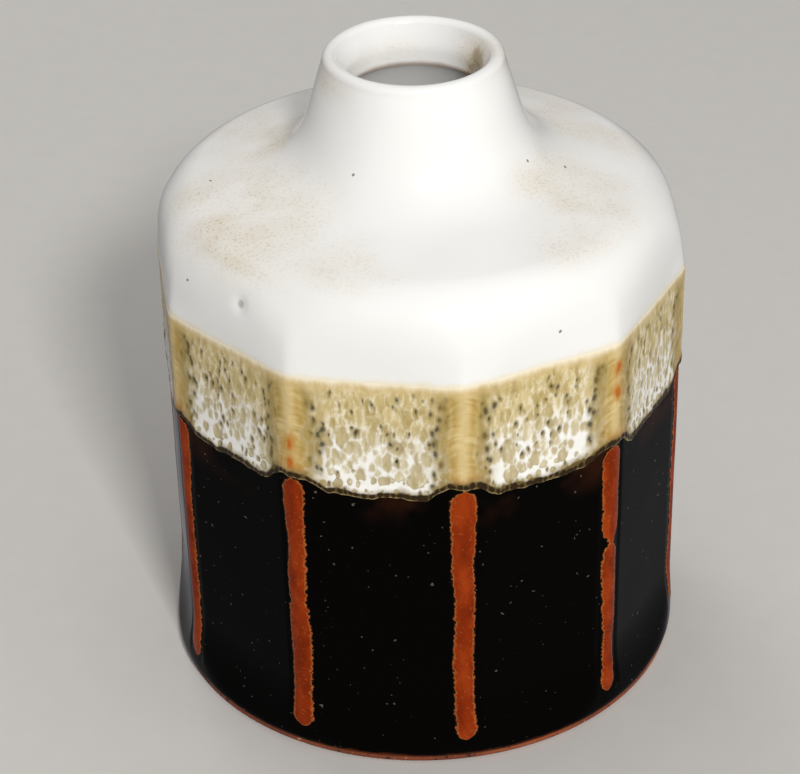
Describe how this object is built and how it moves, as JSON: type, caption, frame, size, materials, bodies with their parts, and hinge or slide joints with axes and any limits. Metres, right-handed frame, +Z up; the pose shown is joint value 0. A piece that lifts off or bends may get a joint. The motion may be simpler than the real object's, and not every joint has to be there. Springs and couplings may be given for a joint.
{
  "type": "bud vase",
  "caption": "Faceted stoneware bud vase: flat black sides with iron-red ridges, a frothy ochre and cream band, a round white shoulder and a short narrow neck.",
  "frame": {"origin": "middle of the base, on the plane that the foot ring rests on", "axes": "+Z up along the axis of the vase; -Y is the front, and +X its right"},
  "size_m": [0.0802, 0.0802, 0.0987],
  "materials": {
    "stoneware_clay": "matt, bare fired stoneware",
    "black_glaze": "gloss",
    "iron_red_glaze": "semi-gloss",
    "froth_glaze": "gloss, cratered and mottled",
    "white_glaze": "gloss"
  },
  "bodies": {
    "root": {"clay_body": "stoneware_clay", "lining_glaze": "white_glaze", "black_glaze": "black_glaze", "ridge_01": "iron_red_glaze", "ridge_02": "iron_red_glaze", "ridge_03": "iron_red_glaze", "ridge_04": "iron_red_glaze", "ridge_05": "iron_red_glaze", "ridge_06": "iron_red_glaze", "ridge_07": "iron_red_glaze", "ridge_08": "iron_red_glaze", "ridge_09": "iron_red_glaze", "ridge_10": "iron_red_glaze", "froth_band": "froth_glaze", "white_glaze": "white_glaze"}
  },
  "joints": []
}
